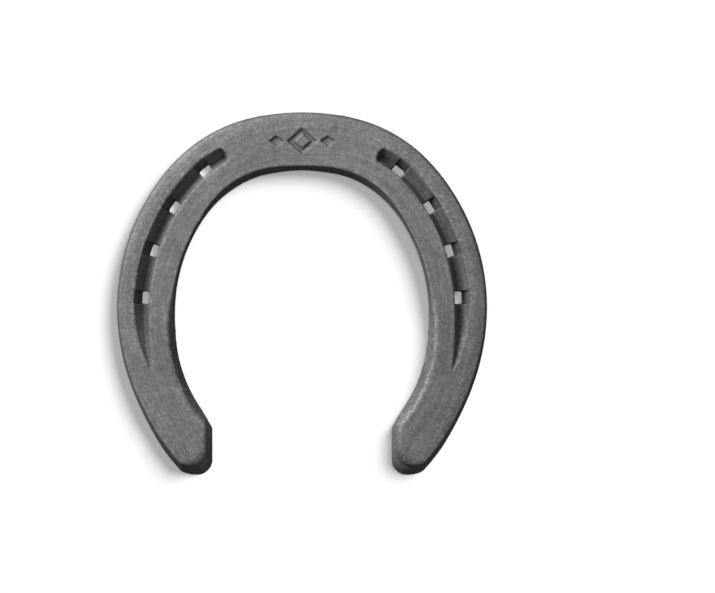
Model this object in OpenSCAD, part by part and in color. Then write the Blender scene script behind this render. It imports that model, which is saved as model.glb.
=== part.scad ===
// Toe-clipped front horseshoe, forged in one piece.
// The shoe lies with its creased ground side up. +Y points to the toe and +Z up.
// The origin is on the hoof face, on the centre line, midway across the web at the toe.

/* [Bar] */
// Thickness of the shoe, from hoof face to ground face
thickness = 8; // [7:0.5:10]
// Width of the web at the toe
toe_web = 20.4; // [19.8:0.2:21]
// Draft of the inner wall: how much wider the opening is at the ground face
inner_draft = 0.7; // [0.4:0.1:0.9]
// Width of the rounded-off edge round the outside of the ground face
rim_width = 0.7; // [0.3:0.1:1.2]

/* [Outline] */
// Distance from the middle of the shoe to the toe's outer edge
toe_reach = 63.8; // [63:0.1:64]
// Radius of the outer edge at the toe
toe_radius = 83; // [80:1:86]
// Radius of the outer edge at the shoulders, between toe and quarters
shoulder_radius = 53; // [52:0.5:54]
// Radius of the outer edge at the quarters, the widest part
quarter_radius = 76.5; // [76:0.5:77]
// Radius of the outer edge from the quarters to the heels
heel_radius = 137; // [130:1:145]

/* [Heels] */
// Half of the gap between the two heels
heel_gap_half = 31.6; // [31:0.1:32.5]
// Distance from the middle of the shoe back to the heel ends
heel_reach = 64.3; // [63.5:0.1:65]
// Slant of the heel ends across the shoe, from hoof face up to ground face
heel_slant_across = 2.1; // [1:0.1:3]
// Slant of the heel ends along the shoe
heel_slant_along = 4; // [3:0.1:5]

/* [Crease] */
// Distance from the outer edge in to the crease
crease_margin = 6.2; // [5.8:0.1:6.6]
// Depth of the crease
crease_depth = 5.3; // [4.5:0.1:5.8]
// Width of the crease's outer slope, seen from above
outer_slope = 3.3; // [3:0.1:3.6]
// Width of the crease's steeper inner wall
inner_slope = 2; // [1.6:0.1:2.3]
// Length over which the crease runs out towards the heel
crease_runout = 27.5; // [24:0.5:30]

/* [Nail holes] */
// Distance from one nail hole to the next, along the crease
nail_pitch = 17; // [16.5:0.1:17.2]
// Length of each hole along the crease, at the ground face
nail_length = 4.9; // [4.2:0.1:5.2]
// Width of each hole across the web, at the hoof face
nail_width = 2.7; // [2.5:0.1:3.2]

/* [Toe clip] */
// Height of the clip beyond the hoof face
clip_height = 12.5; // [10:0.5:16]
// Width of the clip at its root
clip_width = 24; // [20:1:28]

/* [Hidden] */
$fn = 180;

reach_over = 2; // how far cutters stand out of what they cut
blank_over = 1; // how far the blank stands above the ground face before that is cut
overlap = 3; // degrees by which an arc of a chain runs on into its neighbour
step = 0.05; // how far apart the two stay where they overlap
blank_depth = 26; // depth of the blank from the outer edge, before the opening is cut
opening_depth = 12; // depth of each arc of the cutter that makes the opening
small_edge = 0.5; // broken edges round the hoof face
rim_drop = 1.3; // height of the rounded-off edge below the ground face
half_turn = 90; // turns a heading, which counts from +Y, into an angle from +X

// Each outline is a chain of arcs that run into each other, from the toe to the heel: [radius, angle].
outer_arcs = [[toe_radius, 12], [shoulder_radius, 36.5], [quarter_radius, 62.5], [heel_radius, 19]];
inner_arcs = [[55, 13.5], [36, 42], [61.5, 61], [200, 10]];
inner_reach = toe_reach - toe_web;
web_middle = toe_reach - toe_web / 2;

// The toe bevel of the opening at the ground face is a chain of its own, flatter at the toe.
toe_bevel_arcs = [[110, 4.5], [33, 62]];
toe_bevel_reach = inner_reach + 1.5;
toe_bevel_slope = 0.28; // mm across for each mm down

// Round bevels that widen towards the heels: centre, radius at the ground face, slope.
heel_bevel_inner = [[-4.3, -12.4], 51, 0.27];
heel_bevel_outer = [[-22.1, -2.2], 86.7, 0.28];
heel_bevel_from = 68; // the bevel is still clear of the wall here
heel_bevel_to = 170;

// The hoof face falls away to the inner edge, to keep off the sole.
seat_centre = [0, 2, 0];
seat_radius = 50;
seat_angle = 10;

// Heel end outline: a small corner beside the gap and a wide round end.
heel_corner = 5.5;
heel_round = 13;

crease_floor = 0.3; // width of the flat bottom of the crease
crease_start = 32.7; // heading of the crease's full width, at its toe end
crease_turn = 86; // heading at which the crease starts to run out
crease_end_top = 4; // radius of the crease's toe end at the ground face
crease_end_low = 2.4;
runout_drift = 1; // how far the crease moves outwards as it runs out
crease_step = 0.02; // each length of crease is this much shallower than the one before, which it overlaps

nail_first = 40; // heading of the hole nearest the toe
nail_count = 4;
nail_inner_margin = 11.4; // from the outer edge to the inner wall of each hole
nail_outer_margin = crease_margin - 0.2;
nail_taper = 0.5; // how much shorter each hole is at the hoof face

clip_thick_root = 4.4;
clip_thick_tip = 1.8;
clip_lean = 2;
clip_fillet = 2;
clip_round = 7.5;

stamp_depth = 0.9; // of the plain mark at the toe
stamp_large = [5.2, 4.6]; // half diagonals of the open lozenge, of its core and of the small ones
stamp_core = [3, 2.6];
stamp_small = [2.6, 1.8];
stamp_spacing = 9; // from the open lozenge to each small one

// Heading: 0 at the toe, 90 at the quarter, growing towards the heel.
function heading(arcs, i) = i == 0 ? 0 : heading(arcs, i - 1) + arcs[i - 1][1];
function towards(h) = [sin(h), cos(h)];
function centre(arcs, reach, i) =
    i == 0 ? [0, reach - arcs[0][0]]
           : centre(arcs, reach, i - 1) + (arcs[i - 1][0] - arcs[i][0]) * towards(heading(arcs, i));
function arc_at(h) = h < heading(outer_arcs, 1) ? 0 : h < heading(outer_arcs, 2) ? 1 : 2;

// Heading of a point a given length along the crease's bottom line, past a start on the shoulder.
crease_line = crease_margin + outer_slope;
shoulder_end = heading(outer_arcs, 2);
function arc_length(angle, radius) = angle * PI * radius / 180;
function along(length) =
    let (first = arc_length(shoulder_end - nail_first, shoulder_radius - crease_line))
    length < first ? nail_first + length * 180 / PI / (shoulder_radius - crease_line)
                   : shoulder_end + (length - first) * 180 / PI / (quarter_radius - crease_line);

// Sweeps a profile, drawn with x outwards from the edge, along part of an arc.
module sweep(middle, radius, from, to) {
    translate(middle)
        rotate([0, 0, half_turn - to])
            rotate_extrude(angle = to - from)
                translate([radius, 0]) children();
}

module both_sides() {
    for (side = [0, 1])
        mirror([side, 0, 0]) children();
}

// How many steps an arc lies outwards of the toe's: more than a tighter neighbour, fewer than a flatter one.
function rank(arcs, i) = i == 0 ? 0 : rank(arcs, i - 1) + sign(arcs[i][0] - arcs[i - 1][0]);
function runs_on(arcs, i, j) = j < len(arcs) && arcs[j][0] > arcs[i][0] ? overlap : 0;

// Sweeps a profile, which reaches inwards from the chain, along one arc of a chain.
module sweep_arc(arcs, reach, i) {
    sweep(centre(arcs, reach, i), arcs[i][0] + step * rank(arcs, i),
          i == 0 ? -arcs[0][1] - runs_on(arcs, 0, 1) : heading(arcs, i) - runs_on(arcs, i, i - 1),
          heading(arcs, i + 1) + runs_on(arcs, i, i + 1)) children();
}

// Places things beside the outer edge at a heading, with x outwards.
module at_outer_edge(h) {
    i = arc_at(h);
    translate(centre(outer_arcs, toe_reach, i))
        rotate([0, 0, half_turn - h])
            translate([outer_arcs[i][0], 0, 0]) children();
}

module blank_arc(i) {
    sweep_arc(outer_arcs, toe_reach, i)
        polygon([[-blank_depth, 0], [-small_edge, 0], [0, small_edge], [0, thickness - rim_drop],
                 [-rim_width * (rim_drop + blank_over) / rim_drop, thickness + blank_over],
                 [-blank_depth, thickness + blank_over]]);
}

module blank() {
    difference() {
        union() {
            blank_arc(0);
            both_sides()
                for (i = [1 : len(outer_arcs) - 1]) blank_arc(i);
        }
        translate([-2 * toe_reach, -2 * toe_reach, thickness])
            cube([4 * toe_reach, 4 * toe_reach, thickness]);
    }
}

module opening_arc(i) {
    sweep_arc(inner_arcs, inner_reach, i)
        polygon([[-opening_depth, -reach_over], [small_edge + reach_over, -reach_over], [0, small_edge],
                 [inner_draft * (thickness + reach_over) / thickness, thickness + reach_over],
                 [-opening_depth, thickness + reach_over]]);
}

// The blank with the opening cut as far as one arc of the inner chain.
module cut_blank(i) {
    difference() {
        if (i == 0) blank(); else cut_blank(i - 1);
        opening_arc(i);
        if (i > 0) mirror([1, 0, 0]) opening_arc(i);
    }
}

// The part of the branch that stays, seen from above at the hoof face.
module heel_outline() {
    corner = [heel_gap_half + heel_corner, heel_corner - heel_reach];
    round_end = [corner.x, heel_round - heel_reach];
    leave = round_end + heel_round * [cos(45), -sin(45)];
    far = 60;
    polygon([[heel_gap_half, corner.y], corner, round_end, leave, leave + [far, far],
             [heel_gap_half, leave.y + far]]);
    intersection() {
        translate(corner) circle(heel_corner);
        translate(corner - [heel_corner, heel_corner]) square(heel_corner);
    }
    intersection() {
        translate(round_end) circle(heel_round);
        translate(round_end - [0, heel_round]) square(heel_round);
    }
}

module heel_trim() {
    slant = [[1, 0, heel_slant_across / thickness, 0],
             [0, 1, heel_slant_along / thickness, 0],
             [0, 0, 1, 0]];
    difference() {
        translate([10, -90, -reach_over]) cube([70, 50, thickness + 2 * reach_over]);
        multmatrix(slant)
            translate([0, 0, -2 * reach_over])
                linear_extrude(thickness + 4 * reach_over) heel_outline();
    }
}

module heel_bevel_inside() {
    slope = heel_bevel_inner[2];
    sweep(heel_bevel_inner[0], heel_bevel_inner[1], heel_bevel_from, heel_bevel_to)
        polygon([[-12, 0], [-slope * thickness, 0], [slope * reach_over, thickness + reach_over],
                 [-12, thickness + reach_over]]);
}

module heel_bevel_outside() {
    radius = heel_bevel_outer[1];
    slope = heel_bevel_outer[2];
    difference() {
        translate([20, -90, 0]) cube([60, 105, thickness + reach_over]);
        translate(heel_bevel_outer[0])
            cylinder(h = thickness + reach_over, r1 = radius + slope * thickness, r2 = radius - slope * reach_over);
    }
}

module toe_bevel_arc(i) {
    sweep_arc(toe_bevel_arcs, toe_bevel_reach, i)
        polygon([[-12, 0], [-toe_bevel_slope * thickness, 0],
                 [toe_bevel_slope * reach_over, thickness + reach_over], [-12, thickness + reach_over]]);
}

// Crease section, drawn from its bottom line upwards. Raising it narrows it.
module crease_section(raised) {
    high = crease_depth + 2 * reach_over;
    translate([0, raised])
        polygon([[crease_floor / 2, 0],
                 [crease_floor / 2 + high * outer_slope / crease_depth, high],
                 [-crease_floor / 2 - high * inner_slope / crease_depth, high],
                 [-crease_floor / 2, 0]]);
}

module crease_sweep(arc, from, to, raised) {
    sweep(centre(outer_arcs, toe_reach, arc), outer_arcs[arc][0], from, to)
        translate([-crease_line, thickness - crease_depth]) crease_section(raised);
}

// The crease leaves the ground face on an arc that leans inwards as it climbs.
module crease_runout_sweep() {
    inwards = crease_runout * crease_runout / 2 / (quarter_radius - crease_line) - runout_drift;
    rise = norm([crease_depth, inwards]);
    radius = crease_runout * crease_runout / 2 / rise;
    lean = atan2(crease_depth, inwards);
    turn = crease_runout / radius * 180 / PI + 4;
    at_outer_edge(crease_turn)
        translate([-crease_line, 0, thickness - crease_depth])
            rotate([0, lean, 0])
                translate([-radius, 0, 0])
                    rotate([0, 0, -turn])
                        rotate_extrude(angle = turn + overlap)
                            translate([radius, 0]) rotate(lean) crease_section(2 * crease_step);
}

module crease() {
    crease_sweep(1, crease_start, shoulder_end, 0);
    crease_sweep(2, shoulder_end - overlap, crease_turn, crease_step);
    crease_runout_sweep();
    intersection() {
        crease_sweep(1, crease_start - 6, crease_start + overlap, crease_step);
        at_outer_edge(crease_start)
            translate([-crease_margin - (outer_slope + inner_slope) / 2, 0, thickness - crease_depth])
                cylinder(h = 2 * crease_depth, r1 = crease_end_low, r2 = 2 * crease_end_top - crease_end_low);
    }
}

// One nail hole: its outer wall leans in with the nail, and its ends close in a little.
module nail_hole() {
    low = -reach_over;
    high = thickness + reach_over;
    lean = (nail_inner_margin - nail_width - nail_outer_margin) / thickness;
    end_slope = nail_taper / 2 / thickness;
    intersection() {
        rotate([90, 0, 0])
            linear_extrude(2 * nail_length, center = true)
                polygon([[-nail_inner_margin, low],
                         [-nail_inner_margin + nail_width + lean * low, low],
                         [-nail_inner_margin + nail_width + lean * high, high],
                         [-nail_inner_margin, high]]);
        rotate([90, 0, 90])
            linear_extrude(4 * nail_inner_margin, center = true)
                polygon([for (end = [-1, 1], z = end < 0 ? [low, high] : [high, low])
                         [end * (nail_length / 2 - end_slope * (thickness - z)), z]]);
    }
}

module nail_holes() {
    for (i = [0 : nail_count - 1])
        at_outer_edge(along(i * nail_pitch)) nail_hole();
}

module lozenge(half) {
    polygon([[half.x, 0], [0, half.y], [-half.x, 0], [0, -half.y]]);
}

// A plain stamped mark on the centre line: an open lozenge between two small ones.
module toe_stamp() {
    translate([0, web_middle, thickness - stamp_depth])
        linear_extrude(stamp_depth + reach_over) {
            difference() {
                lozenge(stamp_large);
                lozenge(stamp_core);
            }
            for (side = [-1, 1])
                translate([side * stamp_spacing, 0]) lozenge(stamp_small);
        }
}

module seat() {
    translate(seat_centre + [0, 0, -reach_over])
        cylinder(h = seat_radius * tan(seat_angle) + reach_over,
                 r1 = seat_radius + reach_over / tan(seat_angle), r2 = 0);
}

// The clip is drawn out of the toe's outer edge and stands beyond the hoof face.
module toe_clip() {
    root = [clip_width / 2, 0];
    tip = [0, clip_round - clip_height];
    gap = root - tip;
    tangent = atan2(gap.y, gap.x) - acos(clip_round / norm(gap));
    touch = tip + clip_round * [cos(tangent), sin(tangent)];
    inner_tip = -clip_lean - clip_thick_tip;
    intersection() {
        sweep([0, toe_reach - toe_radius], toe_radius, -20, 20)
            polygon([[0, 2 * small_edge], [0, 0], [-clip_lean, -clip_height], [inner_tip, -clip_height],
                     [-clip_thick_root, -clip_fillet], [-clip_thick_root - clip_fillet, 0],
                     [-clip_thick_root - clip_fillet, 2 * small_edge]]);
        rotate([90, 0, 0])
            linear_extrude(3 * toe_reach, center = true) {
                polygon([[-root.x, 2 * small_edge], root * -1, [-touch.x, touch.y], touch, root,
                         [root.x, 2 * small_edge]]);
                translate(tip) circle(clip_round);
            }
    }
}

module shoe() {
    color("dimgray")
        translate([0, -web_middle, 0]) {
            difference() {
                cut_blank(len(inner_arcs) - 1);
                both_sides() heel_trim();
                both_sides() heel_bevel_inside();
                both_sides() heel_bevel_outside();
                toe_bevel_arc(0);
                both_sides() toe_bevel_arc(1);
                both_sides() crease();
                both_sides() nail_holes();
                seat();
                toe_stamp();
            }
            toe_clip();
        }
}

shoe();
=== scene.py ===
"""A forged steel horseshoe lying creased side up on a pale floor."""

import itertools
import math

import bmesh
import bpy
import numpy as np
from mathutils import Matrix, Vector

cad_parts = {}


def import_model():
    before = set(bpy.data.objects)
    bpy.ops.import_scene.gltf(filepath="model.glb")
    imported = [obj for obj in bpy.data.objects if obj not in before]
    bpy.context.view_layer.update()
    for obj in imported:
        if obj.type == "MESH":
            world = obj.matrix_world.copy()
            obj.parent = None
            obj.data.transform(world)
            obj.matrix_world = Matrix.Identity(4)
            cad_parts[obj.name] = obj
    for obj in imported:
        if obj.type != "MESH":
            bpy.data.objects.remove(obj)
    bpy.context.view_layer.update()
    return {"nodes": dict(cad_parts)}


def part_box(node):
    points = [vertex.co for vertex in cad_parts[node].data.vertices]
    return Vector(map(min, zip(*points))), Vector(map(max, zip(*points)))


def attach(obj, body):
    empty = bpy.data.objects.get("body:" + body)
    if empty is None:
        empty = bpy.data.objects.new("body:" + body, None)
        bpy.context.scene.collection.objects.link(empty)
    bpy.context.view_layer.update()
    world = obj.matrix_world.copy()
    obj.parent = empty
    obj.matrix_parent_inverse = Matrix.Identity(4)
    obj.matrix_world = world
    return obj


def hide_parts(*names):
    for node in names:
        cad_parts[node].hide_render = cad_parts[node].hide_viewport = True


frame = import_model()
low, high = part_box("shoe")
THICKNESS = high[2]

# The outer edge is a chain of arcs from the toe to the heel, as in the CAD: radius in metres and angle.
OUTER_ARCS = ((0.083, 12), (0.053, 36.5), (0.0765, 62.5), (0.137, 19))
TOE_REACH = 0.0638  # from the middle of the outline to the toe's outer edge, the highest y
CENTRE_Y = high[1] - TOE_REACH

# The crease, as distances in from the outer edge and along it from the middle of the toe.
CREASE_OUTER = 0.0058
CREASE_INNER = 0.0122
# Between these distances along the crease its painted shade fades and its shallow tail is rubbed.
CREASE_TAIL_FROM = 0.100
CREASE_TAIL_TO = 0.118
CREASE_END = 0.136

# Rubbing of the inner bevels, which grows towards the heels, of the crease's shallow tails and of the rim.
BEVEL_FROM = 0.013
BEVEL_TO = 0.015
RUB_FROM = 0.085
RUB_TO = 0.115
BEVEL_GAIN = 1.5
BEVEL_SPREAD = 16  # smoothing steps that carry the bevel's rubbing over onto the face
BEVEL_SOFTENING = 30  # smoothing steps that round the edge beside the bevel
BEVEL_RUB = 1.3
TAIL_RUB = 0.9
RIM_RUB = 0.3

# Rounding of the ground face by wear, on its outer rim and round the heel ends.
RIM_DROP = 0.00075
HEEL_CENTRE = (0.0421, 0.0132)  # across the shoe from the middle, and up from the heel ends
HEEL_FLAT_RADIUS = 0.0077
HEEL_DROP = 0.0020  # at HEEL_RUN outside the flat round
HEEL_RUN = 0.0040
HEEL_SOFTENING = 0.0080  # over this length towards the toe the rounding fades out

# The finish: mill scale, brighter where it is rubbed or burnished, with painted shade darkening the crease and
# the hollows.
SCALE_COLOUR = (0.161, 0.162, 0.1645)
RUBBED_COLOUR = (0.42, 0.42, 0.425)
RUBBED_AMOUNT = 0.75
BURNISH_LIFT = 1.85
CREASE_SHADE = 0.85
HOLLOW_SHADE = 0.55
METALLIC = 0.22

# How strongly the bend of the surface shows as painted shade in hollows and as rubbed edges, and how far
# rubbing spreads.
HOLLOW_GAIN = 6
EDGE_GAIN = 10
EDGE_SPREAD = 9  # smoothing steps

# Heights of the forged relief.
WAVE_HEIGHT = 0.00006
DRAG_HEIGHT = 0.000012
GRAIN_HEIGHT = 0.000016
PIT_DEPTH = 0.00005

MESH_STEP = 0.0003


def smoothstep(low_end, high_end, values):
    """0 below low_end, 1 above high_end and a smooth rise between."""
    t = np.clip((values - low_end) / (high_end - low_end), 0, 1)
    return t * t * (3 - 2 * t)


def noise(points, scale, seed):
    """Gradient noise, about -1 to 1, on a lattice turned at random so that no plane face lies along it."""
    rng = np.random.default_rng(seed)
    turn = np.linalg.qr(rng.normal(size=(3, 3)))[0]
    order = rng.permutation(256)
    slopes = rng.normal(size=(256, 3))
    slopes /= np.linalg.norm(slopes, axis=1)[:, None]
    p = points @ turn * scale + 64.5
    cell = np.floor(p).astype(np.int64)
    inside = p - cell
    ease = inside**3 * (inside * (inside * 6 - 15) + 10)
    total = np.zeros(len(p))
    for corner in itertools.product((0, 1), repeat=3):
        c = (cell + corner) & 255
        hashed = order[(order[(order[c[:, 0]] + c[:, 1]) & 255] + c[:, 2]) & 255]
        rise = (slopes[hashed] * (inside - corner)).sum(axis=1)
        total += rise * np.where(corner, ease, 1 - ease).prod(axis=1)
    return total * 1.7


def vertex_array(mesh, what="co"):
    values = np.empty(len(mesh.vertices) * 3)
    if what == "co":
        mesh.vertices.foreach_get("co", values)
    else:
        mesh.vertex_normals.foreach_get("vector", values)
    return values.reshape(-1, 3)


def edge_array(mesh):
    ends = np.empty(len(mesh.edges) * 2, dtype=np.int32)
    mesh.edges.foreach_get("vertices", ends)
    return ends.reshape(-1, 2)


def neighbour_mean(values, ends):
    """The mean of each vertex's neighbours, for one number or one vector a vertex."""
    count = np.bincount(ends.ravel(), minlength=len(values))
    columns = values.reshape(len(values), -1)
    sums = []
    for column in columns.T:
        first = np.bincount(ends[:, 0], column[ends[:, 1]], len(values))
        second = np.bincount(ends[:, 1], column[ends[:, 0]], len(values))
        sums.append(first + second)
    return (np.stack(sums, axis=1) / np.maximum(count, 1)[:, None]).reshape(values.shape)


def along_and_across(points):
    """For each point, how far along the outer edge it is from the middle of the toe, and how far in."""
    x = np.abs(points[:, 0])
    y = points[:, 1] - CENTRE_Y
    along = np.zeros(len(points))
    across = np.full(len(points), np.inf)
    centre = np.array([0.0, TOE_REACH - OUTER_ARCS[0][0]])
    heading = 0.0
    travelled = 0.0
    for index, (radius, angle) in enumerate(OUTER_ARCS):
        if index:
            turn = math.radians(heading)
            centre = centre + (OUTER_ARCS[index - 1][0] - radius) * np.array([math.sin(turn), math.cos(turn)])
        here = np.degrees(np.arctan2(x - centre[0], y - centre[1]))
        reached = (here >= heading) if index else np.ones(len(points), dtype=bool)
        distance = radius - np.hypot(x - centre[0], y - centre[1])
        along = np.where(reached, travelled + np.radians(here - heading) * radius, along)
        across = np.where(reached, distance, across)
        heading += angle
        travelled += math.radians(angle) * radius
    return along, across


def even_mesh():
    """The CAD shoe as one mesh of small even faces, its edges a little rounded as forging leaves them."""
    source = frame["nodes"]["shoe"]
    obj = bpy.data.objects.new("forged_shoe", source.data.copy())
    obj.matrix_world = source.matrix_world.copy()
    bpy.context.scene.collection.objects.link(obj)
    obj.data.materials.clear()
    remesh = obj.modifiers.new("even", "REMESH")
    remesh.mode = "VOXEL"
    remesh.voxel_size = MESH_STEP
    soften = obj.modifiers.new("soften", "SMOOTH")
    soften.factor = 0.5
    soften.iterations = 3
    graph = bpy.context.evaluated_depsgraph_get()
    mesh = bpy.data.meshes.new_from_object(obj.evaluated_get(graph))
    obj.modifiers.clear()
    obj.data = mesh
    return obj


def worn_down(points):
    """How far wear lowers the ground face: a little along its outer rim, and more at the heel ends."""
    along, across = along_and_across(points)
    height = smoothstep(0.4 * THICKNESS, THICKNESS, points[:, 2])
    rim = RIM_DROP * np.clip(1 - across / CREASE_OUTER, 0, 1) ** 3
    heel = np.array([HEEL_CENTRE[0], low[1] + HEEL_CENTRE[1]])
    beyond = np.hypot(np.abs(points[:, 0]) - heel[0], points[:, 1] - heel[1]) - HEEL_FLAT_RADIUS
    end = np.clip(beyond, 0, None) * smoothstep(0, HEEL_SOFTENING, heel[1] + HEEL_FLAT_RADIUS - points[:, 1])
    return height * (rim + HEEL_DROP * (end / HEEL_RUN) ** 1.5)


def bevels(mesh, points):
    """1 on the inner bevels towards the heels, carried a little way over onto the faces beside them."""
    along, across = along_and_across(points)
    tilt = vertex_array(mesh, "normal")[:, 2]
    amount = smoothstep(BEVEL_FROM, BEVEL_TO, across) * smoothstep(RUB_FROM, RUB_TO, along)
    amount *= smoothstep(0.05, 0.18, tilt) * (1 - smoothstep(0.93, 0.995, tilt))
    ends = edge_array(mesh)
    for _ in range(BEVEL_SPREAD):
        amount = neighbour_mean(amount, ends)
    return amount


def soften_bevels(mesh, points):
    """Rounds the edge between each inner bevel and the ground face."""
    ends = edge_array(mesh)
    amount = np.clip(BEVEL_GAIN * bevels(mesh, points), 0, 1)[:, None]
    amount *= smoothstep(0.5 * THICKNESS, 0.7 * THICKNESS, points[:, 2])[:, None]
    for _ in range(BEVEL_SOFTENING):
        points = points + amount * (neighbour_mean(points, ends) - points)
    return points


def forge(obj):
    """Wears the shoe, then moves its surface in and out: hammer waves, die drag, scale grain and a few pits."""
    mesh = obj.data
    points = vertex_array(mesh)
    points[:, 2] -= worn_down(points)
    mesh.vertices.foreach_set("co", points.ravel())
    mesh.update()
    points = soften_bevels(mesh, points)
    mesh.vertices.foreach_set("co", points.ravel())
    mesh.update()
    normals = vertex_array(mesh, "normal")
    along, across = along_and_across(points)
    flow = np.stack([along, across, points[:, 2]], axis=1)
    waves = 0.6 * noise(points, 75, 1) + 0.4 * noise(points, 190, 2)
    drag = noise(flow * (120, 900, 900), 1, 3)
    grain = 0.6 * noise(points, 620, 4) + 0.4 * noise(points, 1250, 5)
    pits = smoothstep(0.45, 0.8, noise(points, 330, 6))
    shift = WAVE_HEIGHT * waves + DRAG_HEIGHT * drag + GRAIN_HEIGHT * grain - PIT_DEPTH * pits
    points += normals * shift[:, None]
    mesh.vertices.foreach_set("co", points.ravel())
    mesh.update()


def store(mesh, name, values):
    kind = "FLOAT_VECTOR" if values.ndim == 2 else "FLOAT"
    layer = mesh.attributes.new(name, kind, "POINT")
    layer.data.foreach_set("vector" if values.ndim == 2 else "value", values.astype(np.float32).ravel())


def survey(obj):
    """Measures what the finish and its painted shade follow: the way along the web, hollows, the crease, and
    rubbed places.
    """
    mesh = obj.data
    points = vertex_array(mesh)
    normals = vertex_array(mesh, "normal")
    ends = edge_array(mesh)
    along, across = along_and_across(points)
    side = np.where(points[:, 0] < 0, 1, -1)
    store(mesh, "flow", np.stack([along * side, across, points[:, 2]], axis=1))

    bend = ((points - neighbour_mean(points, ends)) * normals).sum(axis=1) / MESH_STEP
    for _ in range(3):
        bend = 0.5 * bend + 0.5 * neighbour_mean(bend, ends)
    # Concave bend becomes the hollow mask, which sets painted shade in the hollows.
    store(mesh, "hollow", np.clip(-bend * HOLLOW_GAIN, 0, 1))
    for _ in range(EDGE_SPREAD):
        bend = neighbour_mean(bend, ends)

    # The crease mask sets the painted shade in the crease, lighter along its shallow tail.
    depth = THICKNESS - points[:, 2]
    band = smoothstep(CREASE_OUTER - 0.0004, CREASE_OUTER + 0.0004, across)
    band *= 1 - smoothstep(CREASE_INNER - 0.0004, CREASE_INNER + 0.0004, across)
    band *= smoothstep(0.0003, 0.0008, depth) * (normals[:, 2] > -0.5) * (along < CREASE_END)
    tail = smoothstep(CREASE_TAIL_FROM, CREASE_TAIL_TO, along)
    store(mesh, "crease", band * (1 - 0.6 * tail))

    bevel = bevels(mesh, points)
    tail *= band * (across < 0.5 * (CREASE_OUTER + CREASE_INNER))
    rim = smoothstep(0.002, CREASE_OUTER, across) * (across < CREASE_OUTER) * (normals[:, 2] > 0.9)
    edges = bend * EDGE_GAIN * (1 - np.clip(BEVEL_GAIN * bevel, 0, 1))
    store(mesh, "rubbed", np.clip(edges + TAIL_RUB * tail + RIM_RUB * rim, 0, 1))
    store(mesh, "burnish", np.clip(BEVEL_RUB * bevel + 0.5 * TAIL_RUB * tail, 0, 1))


class Nodes:
    """Short calls for building one material's node tree."""

    def __init__(self, name):
        self.material = bpy.data.materials.new(name)
        self.material.use_nodes = True
        self.tree = self.material.node_tree
        self.tree.nodes.clear()

    def add(self, kind, **values):
        new = self.tree.nodes.new(kind)
        for key, value in values.items():
            setattr(new, key, value)
        return new

    def feed(self, socket, value):
        if isinstance(value, bpy.types.NodeSocket):
            self.tree.links.new(value, socket)
        else:
            socket.default_value = value

    def attribute(self, name, output="Fac"):
        return self.add("ShaderNodeAttribute", attribute_name=name).outputs[output]

    def stretch(self, vector, scale):
        new = self.add("ShaderNodeMapping")
        self.feed(new.inputs["Vector"], vector)
        self.feed(new.inputs["Scale"], scale)
        return new.outputs[0]

    def clouds(self, vector, scale, detail=2.0, roughness=0.5):
        new = self.add("ShaderNodeTexNoise")
        settings = {"Vector": vector, "Scale": scale, "Detail": detail, "Roughness": roughness}
        for key, value in settings.items():
            self.feed(new.inputs[key], value)
        return new.outputs["Fac"]

    def span(self, value, from_low, from_high, to_low, to_high):
        new = self.add("ShaderNodeMapRange", interpolation_type="SMOOTHSTEP")
        for index, item in enumerate((value, from_low, from_high, to_low, to_high)):
            self.feed(new.inputs[index], item)
        return new.outputs[0]

    def maths(self, operation, *values):
        new = self.add("ShaderNodeMath", operation=operation)
        for socket, value in zip(new.inputs, values):
            self.feed(socket, value)
        return new.outputs[0]

    def product(self, *values):
        result = values[0]
        for value in values[1:]:
            result = self.maths("MULTIPLY", result, value)
        return result

    def blend(self, amount, first, second):
        new = self.add("ShaderNodeMix", data_type="RGBA")
        for index, value in ((0, amount), (6, first), (7, second)):
            self.feed(new.inputs[index], value)
        return new.outputs[2]


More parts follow.
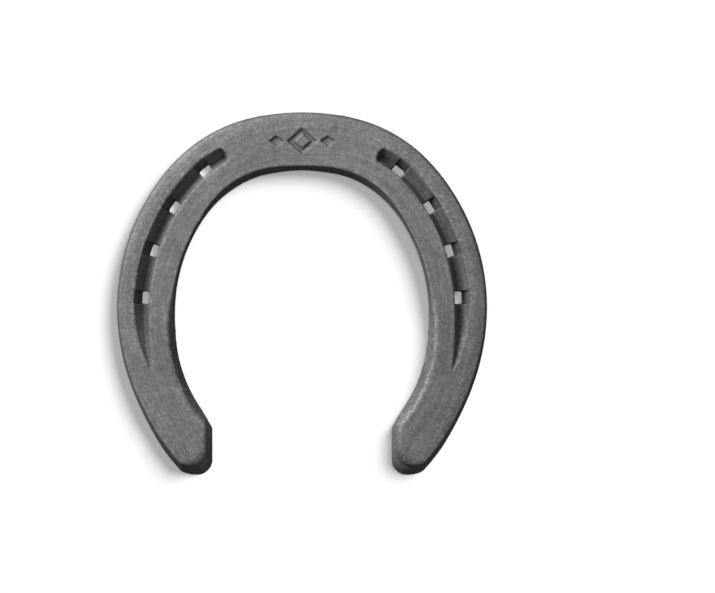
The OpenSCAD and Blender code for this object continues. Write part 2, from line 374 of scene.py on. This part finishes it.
def forged_steel():
    """Grey mill scale: mottled, streaked along the web and bright where it is rubbed, with painted shade
    darkening the crease and hollows.
    """
    n = Nodes("forged_steel")
    place = n.add("ShaderNodeTexCoord").outputs["Object"]
    flow = n.attribute("flow", "Vector")

    patches = n.span(n.clouds(place, 60, 3, 0.6), 0.35, 0.65, 0.91, 1.09)
    mottle = n.span(n.clouds(place, 380, 5, 0.7), 0.35, 0.65, 0.89, 1.11)
    speckle = n.span(n.clouds(place, 1300, 4, 0.75), 0.35, 0.65, 0.8, 1.2)
    streaks = n.span(n.clouds(n.stretch(flow, (60, 1300, 1300)), 1, 2, 0.6), 0.35, 0.65, 0.88, 1.12)
    level = n.product(patches, mottle, speckle, streaks)

    # Painted shade: the crease and the concave hollows are darkened.
    crease = n.attribute("crease")
    hollow = n.attribute("hollow")
    level = n.product(level, n.span(crease, 0, 1, 1, CREASE_SHADE), n.span(hollow, 0, 1, 1, HOLLOW_SHADE))
    burnish = n.product(n.attribute("burnish"), n.span(n.clouds(place, 900, 4, 0.75), 0.42, 0.58, 0.15, 1),
                        n.span(n.clouds(place, 160, 3, 0.6), 0.35, 0.6, 0.45, 1))
    level = n.product(level, n.span(burnish, 0, 1, 1, BURNISH_LIFT))
    scale_colour = n.add("ShaderNodeVectorMath", operation="SCALE")
    n.feed(scale_colour.inputs[0], SCALE_COLOUR)
    n.feed(scale_colour.inputs["Scale"], level)

    flecks = n.span(n.clouds(place, 650, 4, 0.75), 0.5, 0.62, 0, 1)
    rubbed = n.product(n.attribute("rubbed"), flecks, n.span(crease, 0, 1, 1, 0.6), RUBBED_AMOUNT)
    colour = n.blend(rubbed, scale_colour.outputs[0], (*RUBBED_COLOUR, 1))

    shader = n.add("ShaderNodeBsdfPrincipled")
    n.feed(shader.inputs["Base Color"], colour)
    n.feed(shader.inputs["Metallic"], METALLIC)
    n.feed(shader.inputs["Roughness"], n.span(n.clouds(place, 520, 3, 0.6), 0.3, 0.7, 0.54, 0.7))
    bump = n.add("ShaderNodeBump")
    n.feed(bump.inputs["Strength"], 0.5)
    n.feed(bump.inputs["Distance"], 0.00005)
    n.feed(bump.inputs["Height"], n.clouds(place, 2200, 3, 0.6))
    n.feed(shader.inputs["Normal"], bump.outputs[0])
    n.feed(n.add("ShaderNodeOutputMaterial").inputs[0], shader.outputs[0])
    return n.material


shoe = even_mesh()
forge(shoe)
survey(shoe)
shoe.data.polygons.foreach_set("use_smooth", np.ones(len(shoe.data.polygons), dtype=bool))
shoe.data.materials.append(forged_steel())
print("shoe vertices", len(shoe.data.vertices), "faces", len(shoe.data.polygons))
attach(shoe, "root")
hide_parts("shoe")


def floor():
    """A pale floor level with the hoof face, with a slot under the toe that takes the clip."""
    half = 3.0
    slot_half = 0.015
    slot_depth = 0.014
    xs = [-half, -slot_half, slot_half, half]
    ys = [-half, high[1] - 0.011, high[1] - 0.0008, half]
    bm = bmesh.new()
    grid = [[bm.verts.new((x, y, 0)) for x in xs] for y in ys]
    for j, i in itertools.product(range(3), repeat=2):
        if (i, j) != (1, 1):
            bm.faces.new((grid[j][i], grid[j][i + 1], grid[j + 1][i + 1], grid[j + 1][i]))
    rim = [grid[1][1], grid[1][2], grid[2][2], grid[2][1]]
    deep = [bm.verts.new((corner.co.x, corner.co.y, -slot_depth)) for corner in rim]
    for k in range(4):
        after = (k + 1) % 4
        bm.faces.new((rim[k], rim[after], deep[after], deep[k]))
    bm.faces.new(deep)
    mesh = bpy.data.meshes.new("floor")
    bm.to_mesh(mesh)
    bm.free()
    n = Nodes("pale_floor")
    shader = n.add("ShaderNodeBsdfDiffuse")
    n.feed(shader.inputs["Color"], (0.9, 0.9, 0.9, 1))
    n.feed(n.add("ShaderNodeOutputMaterial").inputs[0], shader.outputs[0])
    mesh.materials.append(n.material)
    obj = bpy.data.objects.new("floor", mesh)
    bpy.context.scene.collection.objects.link(obj)
    obj.visible_diffuse = False
    obj.visible_glossy = False
    return obj


def light(data, azimuth, elevation, distance, lit):
    """Aims a light at the middle of the shoe and has it light one object only. Azimuth 0 is +X, 90 is +Y."""
    across, up = math.radians(azimuth), math.radians(elevation)
    way = Vector((math.cos(across) * math.cos(up), math.sin(across) * math.cos(up), math.sin(up)))
    obj = bpy.data.objects.new(data.name, data)
    obj.location = Vector((0, CENTRE_Y, 0)) + way * distance
    obj.rotation_euler = (-way).to_track_quat("-Z", "Y").to_euler()
    bpy.context.scene.collection.objects.link(obj)
    group = bpy.data.collections.new(data.name + "_lights")
    group.objects.link(lit)
    obj.light_linking.receiver_collection = group


def lamp(name, azimuth, elevation, distance, size, power, lit):
    """A round soft lamp close by."""
    data = bpy.data.lights.new(name, "AREA")
    data.shape = "DISK"
    data.size = size
    data.energy = power
    light(data, azimuth, elevation, distance, lit)


def wide_light(name, azimuth, elevation, spread, strength, lit):
    """A soft light so far off that it falls evenly; spread is its width in degrees as seen from the shoe."""
    data = bpy.data.lights.new(name, "SUN")
    data.angle = math.radians(spread)
    data.energy = strength
    light(data, azimuth, elevation, 3.0, lit)


def world():
    """A dim room all round, which the camera sees as a plain pale backdrop."""
    room = bpy.data.worlds.new("studio")
    room.use_nodes = True
    tree = room.node_tree
    background = tree.nodes["Background"]
    background.inputs["Color"].default_value = (1, 1, 1, 1)
    seen = tree.nodes.new("ShaderNodeLightPath").outputs["Is Camera Ray"]
    strength = tree.nodes.new("ShaderNodeMapRange")
    tree.links.new(seen, strength.inputs["Value"])
    strength.inputs["To Min"].default_value = 0.045
    strength.inputs["To Max"].default_value = 1.0
    tree.links.new(strength.outputs[0], background.inputs["Strength"])
    bpy.context.scene.world = room


pale_floor = floor()
lamp("key", azimuth=135, elevation=38, distance=0.75, size=0.5, power=7.6, lit=shoe)
lamp("top", azimuth=100, elevation=72, distance=0.45, size=0.3, power=0.45, lit=shoe)
lamp("low_fill", azimuth=-50, elevation=4, distance=0.8, size=0.25, power=0.55, lit=shoe)
wide_light("floor_side", azimuth=43, elevation=46, spread=30, strength=3.05, lit=pale_floor)
wide_light("floor_above", azimuth=0, elevation=90, spread=22, strength=1.22, lit=pale_floor)
world()
bpy.context.scene.view_settings.view_transform = "Standard"


def camera():
    """Straight above the ground face, framed as the picture frames the shoe."""
    width = 715  # of the picture, in pixels
    millimetres_per_pixel = 0.351
    distance = 0.9
    data = bpy.data.cameras.new("camera")
    data.sensor_width = 36
    data.lens = data.sensor_width * distance * 1000 / (width * millimetres_per_pixel)
    data.shift_x = 0.0775
    data.shift_y = -0.0041
    data.clip_end = 20
    obj = bpy.data.objects.new("camera", data)
    obj.location = (0, CENTRE_Y, THICKNESS + distance)
    bpy.context.scene.collection.objects.link(obj)
    bpy.context.scene.camera = obj


camera()
